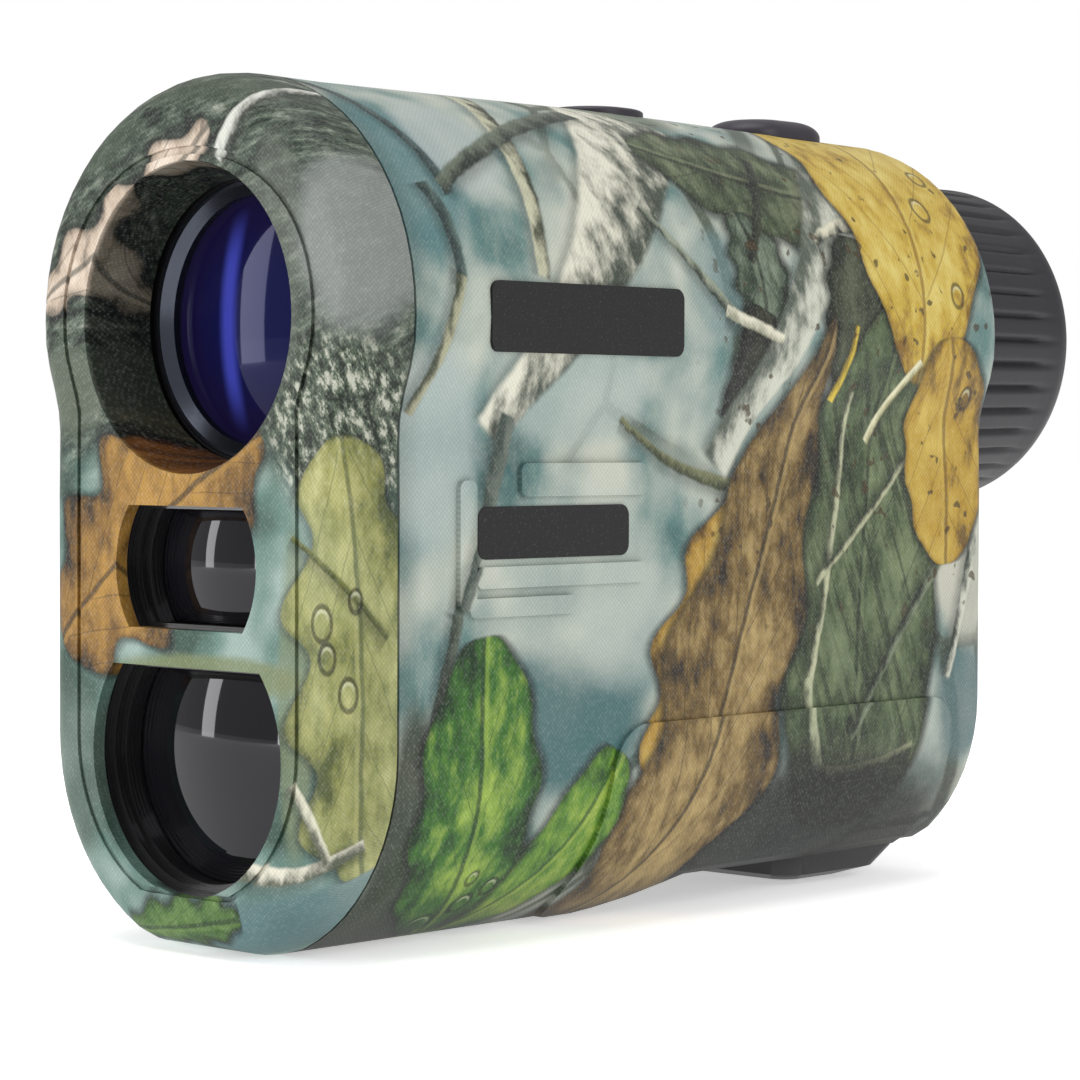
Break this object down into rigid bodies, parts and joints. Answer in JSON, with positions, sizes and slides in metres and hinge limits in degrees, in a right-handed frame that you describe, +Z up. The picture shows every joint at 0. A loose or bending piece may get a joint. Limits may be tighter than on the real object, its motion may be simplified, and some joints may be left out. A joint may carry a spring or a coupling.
{
  "type": "laser rangefinder",
  "caption": "Hand-held laser rangefinder with a leaf-print body, sighting lens over two laser windows, two top buttons, a focusing eyepiece and a hinged battery door.",
  "frame": {"origin": "on the ground under the middle of the whole instrument", "axes": "+Y from the front rim to the eyecup along the sighting axis, +Z up, +X towards the labelled side"},
  "size_m": [0.0412, 0.107, 0.0743],
  "materials": {
    "printed_shell": "leaf-print film under a satin lacquer",
    "label_black": "fine-grained black",
    "seal_rubber": "matt",
    "black_barrel": "black anodised",
    "lens_ring": "grey anodised",
    "coated_glass": "blue-violet coated",
    "prism_glass": "polished",
    "frame_metal": "die-cast",
    "steel": "plain",
    "gold_contact": "gold plated",
    "circuit_board": "green solder mask",
    "chip_black": "moulded",
    "grip_rubber": "satin black",
    "button_rubber": "satin black",
    "bay_plastic": "moulded",
    "cell_wrap": "plain wrapper",
    "door_plastic": "smooth black",
    "lug_metal": "black anodised"
  },
  "bodies": {
    "housing": {"front_bezel": "printed_shell", "main_housing": "printed_shell", "bezel_seal": "seal_rubber", "upper_label": "label_black", "lower_label": "label_black", "objective_barrel": "black_barrel", "objective_ring": "lens_ring", "objective_front_lens": "coated_glass", "objective_rear_lens": "coated_glass", "emitter_barrel": "black_barrel", "emitter_lens": "coated_glass", "laser_diode": "gold_contact", "receiver_barrel": "black_barrel", "receiver_lens": "coated_glass", "light_detector": "steel", "optical_frame": "frame_metal", "front_prism": "prism_glass", "rear_prism": "prism_glass", "reticle_display": "prism_glass", "frame_screws": "steel", "eyepiece_tube": "black_barrel", "field_lens": "coated_glass", "eyepiece_seal": "seal_rubber", "button_seal": "seal_rubber", "button_switches": "steel", "main_board": "circuit_board", "board_parts": "chip_black", "laser_board": "circuit_board", "battery_tube": "bay_plastic", "battery": "cell_wrap", "battery_top_contact": "steel", "door_hinge_pin": "steel", "strap_lug": "lug_metal"},
    "mode_key": {"mode_button": "button_rubber"},
    "measure_key": {"measure_button": "button_rubber"},
    "focus": {"focus_ring": "grip_rubber", "eyecup": "grip_rubber"},
    "eye_cell": {"eye_lens_cell": "black_barrel", "eye_lens": "coated_glass"},
    "door": {"battery_door": "door_plastic", "door_contact": "gold_contact", "door_seal": "seal_rubber"}
  },
  "joints": [
    {"name": "mode_press", "type": "slide", "parent": "housing", "child": "mode_key", "axis": [0, 0, -1], "range_m": [0, 0.0007], "stiffness_N_per_m": 1500, "springref_m": -0.0003},
    {"name": "measure_press", "type": "slide", "parent": "housing", "child": "measure_key", "axis": [0, 0, -1], "range_m": [0, 0.0007], "stiffness_N_per_m": 1500, "springref_m": -0.0003},
    {"name": "focus_turn", "type": "hinge", "parent": "housing", "child": "focus", "pos_m": [0, 0.0415, 0.053], "axis": [0, 1, 0], "range_deg": [-120, 120]},
    {"name": "cell_slide", "type": "slide", "parent": "housing", "child": "eye_cell", "axis": [0, 1, 0], "range_m": [-0.0015, 0.0015]},
    {"name": "door_open", "type": "hinge", "parent": "housing", "child": "door", "pos_m": [0, 0.0119, 0.0043], "axis": [-1, 0, 0], "range_deg": [0, 95]}
  ],
  "couplings": [
    {"joint": "cell_slide", "follows": "focus_turn", "m_per_rad": 0.000716}
  ]
}
